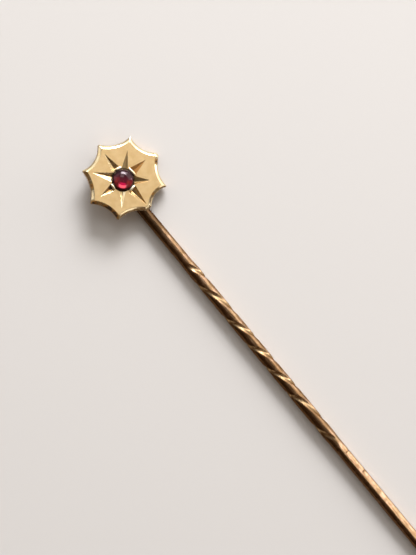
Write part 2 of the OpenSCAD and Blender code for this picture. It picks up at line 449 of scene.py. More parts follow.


# The clean metal of the head, from its face to the tops of its grains, and what marks it: stains that also
# hold painted shade in the cuts and on the bevel, painted shade on the plate's side, and scratches
GOLD = (0.69, 0.475, 0.22)
PALE_GOLD = (0.74, 0.53, 0.265)
ROSY_GOLD = (0.70, 0.465, 0.245)
FILED_GOLD = (0.62, 0.40, 0.18)
CREAM_GOLD = (0.84, 0.65, 0.37)
BRIGHT_GOLD = (0.90, 0.76, 0.50)
PALEST_GOLD = (0.95, 0.85, 0.64)
SMOKE_STAIN_AND_SHADE = (0.35, 0.262, 0.13)
BROWN_STAIN_AND_SHADE = (0.36, 0.17, 0.040)
GRIME_AND_SHADE = (0.045, 0.024, 0.010)
WALL_SHADE = (0.20, 0.11, 0.055)
SCRATCH_STAIN = (0.36, 0.21, 0.10)


def satin_material():
    """The flat face: matted gold whose tone drifts a little, with rosier patches and a fine tooth."""
    w = Paint("satin_gold", 1.0)
    tone = w.mix(w.ramp(w.noise(1.3, 3), 0.35, 0.65), GOLD, PALE_GOLD)
    w.set("Base Color", w.mix(w.ramp(w.noise(2.1, 2), 0.5, 0.75, 0, 0.5), tone, ROSY_GOLD))
    w.set("Roughness", w.ramp(w.noise(5, 4), 0.3, 0.7, 0.40, 0.48))
    w.raise_by(w.noise(12, 3, 0.65), 0.3)
    return w.material


def bright_material():
    """The bevels and cuts: polished gold, brown to near black where the mesh holds stain and painted shade.
    """
    w = Paint("bright_cut_gold")
    # Stain together with painted shade from the mesh, broken up: browner, then near black where it is
    # strongest
    patchy_stain_and_shade = w.times(w.stored("stain"), w.ramp(w.noise(4, 3), 0.3, 0.6, 0.75, 1.15))
    tone = w.mix(w.ramp(w.noise(1.7, 3), 0.35, 0.65), CREAM_GOLD, BRIGHT_GOLD)
    tone = w.mix(w.ramp(patchy_stain_and_shade, 0.1, 0.35), tone, SMOKE_STAIN_AND_SHADE)
    tone = w.mix(w.ramp(patchy_stain_and_shade, 0.38, 0.62), tone, BROWN_STAIN_AND_SHADE)
    w.set("Base Color", w.mix(w.ramp(patchy_stain_and_shade, 0.65, 0.9), tone, GRIME_AND_SHADE))
    w.set("Metallic", w.ramp(patchy_stain_and_shade, 0.2, 0.9, 1.0, 0.4))
    polish = w.ramp(w.noise(6, 4), 0.3, 0.7, 0.16, 0.26)
    w.set("Roughness", w.plus(polish, w.times(patchy_stain_and_shade, 0.35)))
    w.raise_by(w.noise(7, 3, 0.6), 0.25)
    return w.material


def rubbed_material():
    """The tops of the grains: the palest gold, rubbed soft."""
    w = Paint("rubbed_gold", 1.0)
    w.set("Base Color", w.mix(w.ramp(w.noise(3, 2), 0.35, 0.65), BRIGHT_GOLD, PALEST_GOLD))
    w.set("Roughness", w.ramp(w.noise(8, 3), 0.3, 0.7, 0.30, 0.40))
    return w.material


def back_material():
    """The solder and the plate's back and side: filed, handled gold, with painted shade that makes the side
    duller and browner.
    """
    w = Paint("filed_gold", 1.0)
    _, _, height = w.split(w.place_mm)
    scratches = w.noise(5, 4, 0.6, (0.6, 6, 6))
    tone = w.mix(w.ramp(w.noise(0.9, 4), 0.35, 0.7), FILED_GOLD, GOLD)
    # Painted shade: the plate's side is darker and browner than its back and the solder
    tone = w.mix(w.ramp(height, 0.01 - PLATE_T, 0.1 - PLATE_T, 0, 0.6), tone, WALL_SHADE)
    w.set("Base Color", w.mix(w.ramp(scratches, 0.55, 0.8, 0, 0.4), tone, SCRATCH_STAIN))
    w.set("Roughness", w.ramp(scratches, 0.3, 0.7, 0.28, 0.46))
    w.raise_by(scratches, 0.35)
    return w.material


# The rose gold of the stem: toned, yellow or rosy both where rubbed and as painted light, in its grooves,
# and the tint of its mirror at its edge; then the painted shade of its far flank, the painted shadow under
# the head, and the darker colour of its two marks
TONED_GOLD = (0.26, 0.145, 0.068)
WORN_AND_LIT_YELLOW = (0.62, 0.43, 0.25)
WORN_AND_LIT_ROSE = (0.68, 0.45, 0.30)
GROOVE_GOLD = (0.56, 0.39, 0.21)
EDGE_TINT = (0.42, 0.27, 0.17)
FLANK_SHADE = (0.11, 0.058, 0.028)
HEAD_SHADOW = (0.10, 0.055, 0.025)
MARK_DARK = (0.13, 0.07, 0.035)

# Where these change, from none to full, in millimetres from the setting: across the stem, then along it
# Painted light: the flank towards the lamps is lighter
PAINTED_LIT_FLANK = (-0.12, 0.25)
# Painted shade: the flank away from the lamps is darker
PAINTED_SHADE_FLANK = (-0.2, -0.52)
# Painted shadow of the head on the stem
HEAD_SHADOW_RUN = (-7.5, -4.8)
# Painted light along the stem: dimmer in the middle of the twist, lighter along the lower run
PAINTED_DIM_RUN = (-16.0, -21.0)
PAINTED_LIT_RUN = (-30.0, -34.0)


def stem_material():
    """Toned rose gold wire: brown where untouched, rubbed bright in streaks, with painted light on the
    flank towards the lamps and along the lower run, painted shade on the far flank and under the head,
    yellow in its grooves and darker in its two marks.
    """
    w = Paint("toned_rose_gold", 1.0)
    side, along, _ = w.split(w.place_mm)
    streaks = w.noise(3.0, 4, 0.6, (3, 0.25, 3))
    blotches = w.noise(1.1, 3, 0.55)
    mottle = w.noise(3.0, 4, 0.7, (1, 0.5, 1))
    handled = w.noise(2.4, 4, 0.6, (1, 0.7, 1))
    scratches = w.noise(5.0, 4, 0.6, (3, 0.3, 3))
    worn = w.plus(w.ramp(streaks, 0.4, 0.75, 0, 0.35), w.ramp(blotches, 0.4, 0.7, 0, 0.25))
    # Painted light: lighter on the flank towards the lamps
    worn = w.plus(worn, w.ramp(side, *PAINTED_LIT_FLANK, 0, 0.45))
    # Painted light along the stem: dimmer in the middle of the twist, lighter along the lower run
    worn = w.plus(worn, w.ramp(along, *PAINTED_DIM_RUN, 0, -0.22))
    worn = w.plus(worn, w.ramp(along, *PAINTED_LIT_RUN, 0, 0.38))
    worn = w.times(worn, w.ramp(mottle, 0.38, 0.6, 0.45, 1.3))
    # The tone of rubbed metal, also used for the painted light
    rubbed = w.mix(w.ramp(blotches, 0.42, 0.58), WORN_AND_LIT_YELLOW, WORN_AND_LIT_ROSE)
    tone = w.mix(worn, TONED_GOLD, rubbed)
    # Painted shade on the far flank
    tone = w.mix(w.ramp(side, *PAINTED_SHADE_FLANK, 0, 0.8), tone, FLANK_SHADE)
    # Painted shadow of the head, darkest under it
    tone = w.mix(w.ramp(along, *HEAD_SHADOW_RUN, 0, 0.9), tone, HEAD_SHADOW)
    tone = w.mix(w.ramp(w.stored("groove"), 0.1, 0.8, 0, 0.65), tone, GROOVE_GOLD)
    # Darker in the two marks
    tone = w.mix(w.ramp(w.stored("grime"), 0.1, 0.45, 0, 0.95), tone, MARK_DARK)
    w.set("Base Color", tone)
    w.set("Specular Tint", (*EDGE_TINT, 1))
    roughness = w.plus(w.ramp(streaks, 0.3, 0.7, 0.2, 0.32), w.ramp(handled, 0.5, 0.7, 0, 0.12))
    w.set("Roughness", roughness)
    w.raise_by(w.plus(w.times(scratches, 0.15), handled), 0.5, 0.03 * MM)
    return w.material


# The side of the stone, away from the window, where a painted glow stands in for the light from its depth
PAINTED_GLOW_TURN = -140

# The stone's colours, most of them painted light: painted shade towards the window and painted light
# towards the glow, its streaks, red lobes of painted light, the core and the crescent of the painted glow
# with the light it emits, painted shade at the rim, and the tint of what it mirrors
GARNET_PAINTED_SHADE = (0.018, 0.002, 0.005)
GARNET_PAINTED_LIT_RED = (0.085, 0.006, 0.014)
GARNET_STREAK = (0.17, 0.022, 0.026)
GARNET_PAINTED_LOBE = (0.24, 0.026, 0.022)
GARNET_PAINTED_GLOW_CORE = (0.62, 0.010, 0.070)
GARNET_PAINTED_GLOW = (1.0, 0.16, 0.22)
PAINTED_GLOW_EMISSION = (0.55, 0.035, 0.060)
GARNET_RIM_SHADE = (0.006, 0.002, 0.003)
GARNET_TINT = (1.0, 0.86, 0.90)
NO_LIGHT = (0.0, 0.0, 0.0)


def garnet_material():
    """A dark wine-red stone with painted light: painted shade towards the window, painted red lobes and a
    painted glow on the side away from it, the glow emitting light, and painted shade at the rim.
    """
    w = Paint("garnet")
    x, y, _ = w.split(w.place_mm)
    cosine, sine = math.cos(math.radians(PAINTED_GLOW_TURN)), math.sin(math.radians(PAINTED_GLOW_TURN))
    along = w.plus(w.times(x, cosine), w.times(y, sine))
    across = w.minus(w.times(y, cosine), w.times(x, sine))
    aside = w.maths("ABSOLUTE", across)
    out = w.maths("SQRT", w.plus(w.times(along, along), w.times(across, across)))

    # Painted light: darker towards the window, redder towards the painted glow
    body = w.mix(w.ramp(along, -0.6, 0.4), GARNET_PAINTED_SHADE, GARNET_PAINTED_LIT_RED)
    streaks = w.ramp(w.noise(3.0, 3, 0.6, (2.2, 0.7, 1)), 0.5, 0.68, 0, 0.7)
    body = w.mix(w.times(streaks, w.ramp(along, -0.5, 0.1)), body, GARNET_STREAK)
    # Red lobes of painted light at both sides of the painted glow, broken up
    lobe_patches = w.ramp(w.noise(2.6, 3, 0.6), 0.35, 0.65, 0.1, 1.0)
    sides = w.times(w.ramp(aside, 0.15, 0.45), w.ramp(along, -0.25, 0.35))
    body = w.mix(w.times(sides, lobe_patches), body, GARNET_PAINTED_LOBE)

    # The painted glow: its core, then its crescent
    low = w.times(w.ramp(along, 0.25, 0.45), w.ramp(out, 0.85, 0.75))
    body = w.mix(w.times(w.ramp(aside, 0.42, 0.15), low), body, GARNET_PAINTED_GLOW_CORE)
    ring = w.times(w.ramp(out, 0.54, 0.64), w.ramp(out, 0.88, 0.78))
    painted_glow = w.times(ring, w.times(w.ramp(aside, 0.48, 0.16), w.ramp(along, 0.2, 0.4)))
    body = w.mix(painted_glow, body, GARNET_PAINTED_GLOW)

    # Painted shade at the rim
    w.set("Base Color", w.mix(w.ramp(out, 0.84, 1.0), body, GARNET_RIM_SHADE))
    # The painted glow also emits light, though the stone is no lamp
    w.set("Emission Color", w.mix(painted_glow, NO_LIGHT, PAINTED_GLOW_EMISSION))
    w.set("Emission Strength", 1.0)
    w.set("Roughness", 0.05)
    w.set("IOR", 1.77)
    w.set("Specular IOR Level", 0.14)
    w.set("Specular Tint", (*GARNET_TINT, 1))
    w.set("Transmission Weight", 0.1)
    return w.material


def circle_through(a, b, c):
    """Centre and radius of the circle through three places."""
    u, v = b - a, c - a
    d = 2 * (u.x * v.y - u.y * v.x)
    centre = a + Vector((v.y * u.dot(u) - u.y * v.dot(v), u.x * v.dot(v) - v.x * u.dot(u))) / d
    return centre, (centre - a).length


def hollow(i):
    """Centre and radius of the round hollow after point i."""
    middle = place(STAR_R - POINTS[i]["hollow"], (point_turn(i) + point_turn(i + 1)) / 2)
    return circle_through(corner(i, 1), middle, corner(i + 1, -1))


HOLLOWS = [hollow(i) for i in range(COUNT)]


def end_of_hollow(i, hollow_index, side, inset):
    """Where a hollow, filed that much further in, meets the blunt end of point i."""
    centre, radius = HOLLOWS[hollow_index]
    end_r = point_r(i) - inset * (1 + END_DROP / BEVEL)
    forward, left = place(1, point_turn(i)), place(1, point_turn(i) + 90)
    past, aside = end_r - centre.dot(forward), centre.dot(left)
    return aside - side * math.sqrt((radius + inset) ** 2 - past ** 2), end_r


def mitre(first, second, inset):
    """Where two neighbouring hollows meet, once the blunt end between them is used up."""
    (a, ra), (b, rb) = HOLLOWS[first], HOLLOWS[second]
    ra, rb = ra + inset, rb + inset
    gap = b - a
    along = (gap.length_squared + ra * ra - rb * rb) / (2 * gap.length)
    across = math.sqrt(ra * ra - along * along)
    unit = gap.normalized()
    sides = [a + unit * along + Vector((-unit.y, unit.x)) * across * s for s in (-1, 1)]
    return min(sides, key=lambda p: p.length)


def point_corners(i, inset):
    """The right and left corners of point i on a line that far in from the outline."""
    before = (i - 1) % COUNT
    right, end_r = end_of_hollow(i, before, -1, inset)
    left, _ = end_of_hollow(i, i, 1, inset)
    if left > right:
        return place(end_r, point_turn(i), right), place(end_r, point_turn(i), left)
    meet = mitre(before, i, inset)
    return meet, meet


# Steps along one hollow of the star, closer together towards its ends
ARC_STEPS = 22


def outline(inset):
    """The star's outline, that far in, as points of its eight hollows."""
    corners = [point_corners(i, inset) for i in range(COUNT)]
    line = []
    for i in range(COUNT):
        centre, _ = HOLLOWS[i]
        start, end = corners[i][1] - centre, corners[(i + 1) % COUNT][0] - centre
        sweep = start.angle_signed(end)
        for k in range(ARC_STEPS + 1):
            share = (1 - math.cos(math.pi * k / ARC_STEPS)) / 2
            line.append(centre + Matrix.Rotation(-sweep * share, 2) @ start)
    return line


# The finished bevel is a little lower and wider than a plain one and swells in its middle, by a share of
# the same outwards too. The plate's back edge is broken by the last of these.
BEVEL_RISE = 0.21
BEVEL_RUN = 0.31
BEVEL_STEPS = 6
BEVEL_SWELL = 0.018
SWELL_OUT = 0.6
BACK_EDGE = 0.03


def rim():
    """Inset from the outline and height, up the side of the plate and over its slightly rounded bevel."""
    rows = [(BACK_EDGE, BACK_H), (0.0, BACK_H + BACK_EDGE)]
    for k in range(BEVEL_STEPS + 1):
        share = k / BEVEL_STEPS
        swell = BEVEL_SWELL * 4 * share * (1 - share)
        rows.append((BEVEL_RUN * share - swell * SWELL_OUT, FACE_Z - BEVEL_RISE * (1 - share) + swell))
    return rows


def stack_faces(rings, sides):
    """The faces between rings of corners, each with the same number of sides, without the two ends."""
    faces = []
    for start in range(0, (rings - 1) * sides, sides):
        for k in range(sides):
            a, b = start + k, start + (k + 1) % sides
            faces.append((a, b, b + sides, a + sides))
    return faces


def plate_blank():
    """The plate before it is engraved: star outline, straight side, bevel and two flat faces."""
    corners, rings, sides = [], rim(), COUNT * (ARC_STEPS + 1)
    for inset, z in rings:
        corners += [(HEAD_OFF + p.x, p.y, z) for p in outline(inset)]
    last = (len(rings) - 1) * sides
    faces = stack_faces(len(rings), sides)
    faces += [tuple(range(sides - 1, -1, -1)), tuple(range(last, last + sides))]
    return plain_mesh("plate_blank", corners, faces)


def layout(rows):
    """A mesh with one point for each row, which carries the row's values as attributes."""
    mesh = plain_mesh("layout", [(0, 0, 0)] * len(rows), [])
    for name in rows[0]:
        attribute = mesh.attributes.new(name, "FLOAT", "POINT")
        attribute.data.foreach_set("value", [float(row[name]) for row in rows])
    return mesh


def placed(shape, item, out, lift, size):
    """Instances of an item round the setting: each is turned its own way, moved out and up, and sized."""
    angle = shape.maths("RADIANS", shape.named("direction"))
    centre = shape.join(shape.times(shape.maths("COSINE", angle), out),
                        shape.times(shape.maths("SINE", angle), out), lift)
    info = shape.node("GeometryNodeObjectInfo", {"Object": item})
    inputs = {"Points": shape.moved(shape.given["Geometry"], position=centre),
              "Instance": info.outputs["Geometry"], "Rotation": shape.join(0.0, 0.0, angle), "Scale": size}
    return shape.node("GeometryNodeInstanceOnPoints", inputs).outputs[0]


def wedge():
    """A graver's cut of unit length, width and depth: deepest at its foot, running out at its tip."""
    mesh = plain_mesh("wedge", [(0, 0, 0), (0, 0.5, 1), (0, -0.5, 1), (1, 0, 1)],
                      [(0, 1, 2), (0, 3, 1), (0, 2, 3), (1, 3, 2)])
    mesh.attributes.new("deepest", "FLOAT", "POINT").data.foreach_set("value", [1.0, 0.0, 0.0, 0.0])
    return mesh


def ray_start(ray):
    """Where a ray starts: behind its grain, or in the seat of the stone if it has none."""
    return RAY_START if ray["grain"] else SEAT_R - OPEN_FOOT


def ray_cutters(material):
    """The eight cuts as closed wedges, each with its deepest line moved to its own side of the middle."""
    item = new_object("wedge", wedge())
    rows = [{"direction": i * EIGHTH + ray["turn"], "start": ray_start(ray),
             "length": ray["reach"] - ray_start(ray), "width": ray["width"], "valley": ray["valley"]}
            for i, ray in enumerate(RAYS)]
    shape = Shape("engraved_rays", {
        "Wedge": item, "Slope": RAY_SLOPE, "Overshoot": CUT, "Material": material})
    minus, times, width = shape.minus, shape.times, shape.named("width")
    depth = times(width, shape.given["Slope"])
    grow = shape.plus(shape.maths("DIVIDE", shape.given["Overshoot"], depth), 1.0)
    size = shape.join(times(shape.named("length"), grow), times(width, grow), times(depth, grow))
    wedges = placed(shape, shape.given["Wedge"], shape.named("start"), times(depth, -1.0), size)
    share = minus(1.0, times(grow, minus(1.0, shape.named("deepest"))))
    aside = times(times(width, shape.named("valley")), share)
    angle = shape.maths("RADIANS", shape.named("direction"))
    offset = shape.join(times(shape.maths("SINE", angle), times(aside, -1.0)),
                        times(shape.maths("COSINE", angle), aside), 0.0)
    shape.end(shape.moved(shape.realised(wedges), offset=offset))
    mesh = shape.mesh_from(layout(rows))
    bpy.data.objects.remove(item)
    return mesh


def bead():
    """A raised grain of unit length and thickness: a short bar with full round ends, lying along Y."""
    rings, sides = 16, 20
    corners, faces = [(0, -0.5, 0)], []
    for ring in range(1, rings):
        y = -0.5 * math.cos(math.pi * ring / rings)
        r = 0.5 * (1 - abs(2 * y) ** 3) ** 0.5
        for k in range(sides):
            a = math.tau * k / sides
            corners.append((r * math.cos(a), y, r * math.sin(a)))
    corners.append((0, 0.5, 0))
    last = len(corners) - 1
    for k in range(sides):
        after = (k + 1) % sides
        faces.append((0, 1 + k, 1 + after))
        faces.append((last, last - sides + after, last - sides + k))
        for ring in range(rings - 2):
            a = 1 + ring * sides
            faces.append((a + k, a + sides + k, a + sides + after, a + after))
    return plain_mesh("bead", corners, faces)


def raised_grains(material):
    """The four grains at the stone's edge."""
    item = new_object("bead", bead())
    rows = [{"direction": i * EIGHTH + ray["grain_turn"], "length": ray["grain"]}
            for i, ray in enumerate(RAYS) if ray["grain"]]
    shape = Shape("raised_grains", {"Bead": item, "Out": SEAT_R + GRAIN_OUT, "Lift": GRAIN_LIFT,
                                    "Thickness": GRAIN_T, "Material": material})
    size = shape.join(shape.given["Thickness"], shape.named("length"), shape.given["Thickness"])
    shape.end(placed(shape, shape.given["Bead"], shape.given["Out"], shape.given["Lift"], size))
    mesh = shape.mesh_from(layout(rows))
    bpy.data.objects.remove(item)
    return mesh


# Sides of the stone and of its seat
ROUND_SIDES = 96


def turned_mesh(name, profile, centre=Vector((0, 0, 0))):
    """A closed shape turned round an upright axis from (radius, height) rows, lowest first."""
    corners = []
    for r, z in profile:
        for k in range(ROUND_SIDES):
            a = math.tau * k / ROUND_SIDES
            corners.append(centre + Vector((r * math.cos(a), r * math.sin(a), z)))
    return closed(plain_mesh(name, corners, stack_faces(len(profile), ROUND_SIDES)))


def seat_cutter():
    """The round hole that the stone sits in."""
    profile = [(0, -SEAT_FLOOR), (SEAT_R, -SEAT_FLOOR), (SEAT_R, CUT), (0, CUT)]
    return turned_mesh("seat_cutter", profile)


def carve(blank, tools):
    """The blank with each tool's solid cut from it or joined to it."""
    body = new_object("carving", blank)
    spare = []
    for mesh, operation in tools:
        tool = new_object("tool", mesh)
        modifier = body.modifiers.new(operation, "BOOLEAN")
        modifier.operation = operation
        modifier.solver = "EXACT"
        modifier.object = tool
        spare.append(tool)
    return finished(body, *spare)


# Corners closer than this are merged: in a plain shape, after cuts and soft edges, after the grains are
# joined on, and in the wire
MERGE = 0.0001
MERGE_CUTS = 0.001
MERGE_GRAINS = 0.0005
MERGE_WIRE = 0.00005


def closed(mesh, merge=MERGE):
    """The mesh with its doubles merged and its faces pointing outwards."""
    work = bmesh.new()
    work.from_mesh(mesh)
    bmesh.ops.remove_doubles(work, verts=work.verts, dist=merge)
    bmesh.ops.dissolve_degenerate(work, edges=work.edges, dist=merge)
    bmesh.ops.recalc_face_normals(work, faces=work.faces)
    work.to_mesh(mesh)
    work.free()
    return mesh


# How wide the soft edges are, and the sharpest turn in degrees that stays as it is
SOFT_EDGE = 0.016
SHARP_FROM = 15


def softened(mesh):
    """The mesh with its sharp edges rounded over."""
    body = new_object("softening", mesh)
    modifier = body.modifiers.new("soft edges", "BEVEL")
    modifier.width = SOFT_EDGE
    modifier.segments = 3
    modifier.limit_method = "ANGLE"
    modifier.angle_limit = math.radians(SHARP_FROM)
    modifier.use_clamp_overlap = False
    return closed(finished(body), MERGE_CUTS)


def flat_shaded(mesh):
    """The mesh with its flat faces shaded flat right up to their soft edges."""
    mesh.polygons.foreach_set("use_smooth", [True] * len(mesh.polygons))
    body = new_object("shading", mesh)
    shading = body.modifiers.new("flat faces", "WEIGHTED_NORMAL")
    shading.weight = 60
    shading.keep_sharp = False
    return finished(body)


# The stain and painted shade at the foot of a cut fade over this share of its length. A wall that faces
# the lamps keeps this share of them, from this many degrees off the cut's direction.
FOOT_SHARE = 0.65
LIT_WALL_SHARE = 0.1
LIT_WALL_FROM = 1.0
# A place belongs to a cut up to this far beyond its edges, this share of its length before its foot, and
# this many degrees off its direction
CUT_MARGIN = 0.02
FOOT_MARGIN = 0.2
WIDEST_OFF = 60
# What is less than this above or below the face counts as on it
ON_FACE = 0.004
# Brown marks on the bevel, partly real marks and partly painted shade on the side turned from the lamps:
# place from the setting, size and strength
BEVEL_STAINS_AND_SHADE = [
    (3.59, -0.65, 0.35, 1.3), (1.35, -2.75, 0.5, 0.8), (2.0, -2.7, 0.4, 0.6), (-2.68, 1.48, 0.65, 0.8),
    (-3.0, -1.25, 0.85, 1.5), (-2.9, -2.0, 0.8, 1.5), (-3.6, 0.05, 0.5, 1.2),
]


def stain_and_shade_at(p):
    """How brown the metal is at a place from the setting, stain and painted shade together: in the cuts,
    and at a few marks on the bevel.
    """
    r, turn = math.hypot(p.x, p.y), math.degrees(math.atan2(p.y, p.x))
    for i, (ray, (foot, tip, lit_wall)) in enumerate(zip(RAYS, RAY_STAINS_AND_SHADE)):
        off = (turn - i * EIGHTH - ray["turn"] + 180) % 360 - 180
        share = (r - ray_start(ray)) / (ray["reach"] - ray_start(ray))
        half_w = ray["width"] / 2 * (1 - share) + CUT_MARGIN
        in_width = abs(r * math.sin(math.radians(off))) < half_w and abs(off) < WIDEST_OFF
        if in_width and share > -FOOT_MARGIN and p.z < ON_FACE:
            # Stain together with painted shade; a wall that faces the lamps keeps only a share of it
            stain = tip + (foot - tip) * max(0.0, 1 - max(share, 0) / FOOT_SHARE)
            return stain * (LIT_WALL_SHARE if lit_wall * off < -LIT_WALL_FROM else 1)
    # Marks on the bevel: partly real marks, partly painted shade
    marks = (amount * (1 - math.hypot(p.x - x, p.y - y) / size) for x, y, size, amount in BEVEL_STAINS_AND_SHADE)
    return max(0.0, *marks)


def piece(name, mesh, materials, node, finish=None):
    """A finished piece in its place on the resting pin."""
    mesh.name = name
    mesh.transform(LAID_DOWN)
    mesh.materials.clear()
    for material in materials:
        mesh.materials.append(material)
    mesh.polygons.foreach_set("material_index", finish or [0] * len(mesh.polygons))
    mesh.polygons.foreach_set("use_smooth", [True] * len(mesh.polygons))
    mesh.update()
    thing = new_object(name, mesh)
    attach(thing, "root")
    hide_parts(node)


# The head's materials by number. A face is level if its normal rises by more than the first of these, and
# turned down below the second. The plate's side is further out than this share of the star.
SATIN, BRIGHT, FILED, RUBBED = range(4)
LEVEL = 0.985
TURNED_DOWN = -0.9
SIDE_SHARE = 0.7


def finish_of(face):
    """The material of a face of the head, by where it is and how it is turned."""
    if face.normal.z > LEVEL and abs(face.center.z - FACE_Z) < ON_FACE:
        return SATIN
    if face.center.z > FACE_Z + ON_FACE:
        return RUBBED
    out = (face.center.xy - SETTING.xy).length
    on_side = face.center.z < FACE_Z - BEVEL_RISE and out > STAR_R * SIDE_SHARE
    return FILED if on_side or face.normal.z < TURNED_DOWN else BRIGHT


def make_head(materials):
    """The star plate with its rays, grains and the seat of the stone."""
    cutters = closed(ray_cutters(materials[BRIGHT]))
    seat = seat_cutter()
    grains = closed(raised_grains(materials[BRIGHT]))
    for mesh in (cutters, seat, grains):
        mesh.transform(Matrix.Translation(SETTING))
    cut = carve(closed(plate_blank()), [(cutters, "DIFFERENCE"), (seat, "DIFFERENCE")])
    mesh = carve(softened(closed(cut, MERGE_CUTS)), [(grains, "UNION")])
    mesh = flat_shaded(closed(mesh, MERGE_GRAINS))
    finish = [finish_of(face) for face in mesh.polygons]
    stains_and_shade = [stain_and_shade_at(v.co - SETTING) for v in mesh.vertices]
    mesh.attributes.new("stain", "FLOAT", "POINT").data.foreach_set("value", stains_and_shade)
    piece("star_head", mesh, materials, "gold_pin", finish)


# The finished grooves are deeper by this much, and the wall away from the head is worn to a slope this
# wide, in degrees round the wire
GROOVE_WEAR = 0.025
EASY_WALL = 45.0
# The wire's grid: sides and rings, and the share of the rings used up at a distance from the head's centre
STEM_SIDES = 80
STEM_RINGS = 680
RING_SHARE = [(0.0, -2.0), (0.012, -1.86), (0.08, 9.4), (0.86, 37.2), (0.988, 55.7), (1.0, 56.0)]
# Rings within this share of the first and the last one are drawn together, which closes the wire's ends
END_RING = 0.0001
# The lower run is rubbed a little flat on one side: its direction, half width, start, end and run-out
FLAT = {"turn": 65.0, "half": 30.0, "start": 32.4, "end": 46.0, "ease": 1.2}
# Two marks on the lower run: distance from the head's centre, half length, depth, direction, and the
# cosine of how far each side of that direction it runs out
NICK = {"at": 33.95, "half": 0.12, "depth": 0.04, "turn": 40.0, "run_out": 0.6}
PIT = {"at": 36.4, "half": 0.15, "depth": 0.03, "turn": 52.0, "run_out": 0.93}


def curve_through(shape, value, rows, low, high, straight):
    """A value read from rows of (input, output), where the outputs run from low to high."""
    first, last = rows[0][0], rows[-1][0]
    node = shape.node("ShaderNodeFloatCurve", {"Value": shape.ramp(value, first, last, smooth=False)})
    points = node.mapping.curves[0].points
    for at, result in rows[1:-1]:
        points.new((at - first) / (last - first), (result - low) / (high - low))
    for point in points:
        point.handle_type = "VECTOR" if straight else "AUTO_CLAMPED"
    node.mapping.update()
    return shape.ramp(node.outputs[0], 0.0, 1.0, low, high, smooth=False)


def dent(shape, station, angle, mark):
    """How deep a small mark is at a place on the wire, as a share of its depth."""
    away = shape.maths("ABSOLUTE", shape.minus(station, mark["at"]))
    near = shape.ramp(away, 0.0, mark["half"], 1.0, 0.0)
    facing = shape.maths("COSINE", shape.minus(angle, math.radians(mark["turn"])))
    return shape.times(near, shape.ramp(facing, mark["run_out"], (1 + mark["run_out"]) / 2))


def groove_section(shape, around):
    """How deep two opposite grooves are round the wire, as a share of their depth: steep, then easy."""
    maths, minus, times = shape.maths, shape.minus, shape.times
    from_groove = maths("WRAP", around, math.pi / 2, -math.pi / 2)
    steep = maths("DIVIDE", from_groove, shape.given["Half groove"])
    steep = times(minus(1.0, maths("POWER", steep, 2.0)), maths("LESS_THAN", from_groove, 0.0))
    easy = maths("MINIMUM", maths("DIVIDE", from_groove, shape.given["Easy wall"]), 1.0)
    easy = maths("POWER", maths("COSINE", times(easy, math.pi / 2)), 2.0)
    just_below = -0.00001
    easy = times(easy, maths("GREATER_THAN", from_groove, just_below))
    return maths("MAXIMUM", steep, easy)


def end_drops(shape, station):
    """How far the skin comes in over the sharpened point, along an arc, and over the rounded upper end."""
    maths, minus = shape.maths, shape.minus
    curve = shape.given["Point curve"]
    past = maths("MAXIMUM", minus(station, shape.given["Point start"]), 0.0)
    point = minus(curve, maths("SQRT", minus(maths("POWER", curve, 2.0), maths("POWER", past, 2.0))))
    rounding = minus(1.0, maths("DIVIDE", minus(station, shape.given["Upper end"]), END_CUT))
    rounding = maths("MAXIMUM", rounding, 0.0)
    corner_cut = minus(1.0, maths("SQRT", minus(1.0, maths("POWER", rounding, 2.0))))
    return shape.plus(point, shape.times(corner_cut, END_CUT))


def flat_drop(shape, station, angle):
    """How far the skin comes in where the lower run is rubbed flat."""
    maths, minus, half = shape.maths, shape.minus, math.radians(FLAT["half"])
    off = maths("WRAP", minus(angle, math.radians(FLAT["turn"])), math.pi, -math.pi)
    off = maths("MINIMUM", maths("ABSOLUTE", off), half)
    chord = minus(1.0, maths("DIVIDE", math.cos(half), maths("COSINE", off)))
    run = maths("MINIMUM", minus(station, FLAT["start"]), minus(FLAT["end"], station))
    run = shape.ramp(run, 0.0, FLAT["ease"])
    return shape.times(shape.times(chord, run), shape.given["Wire radius"])


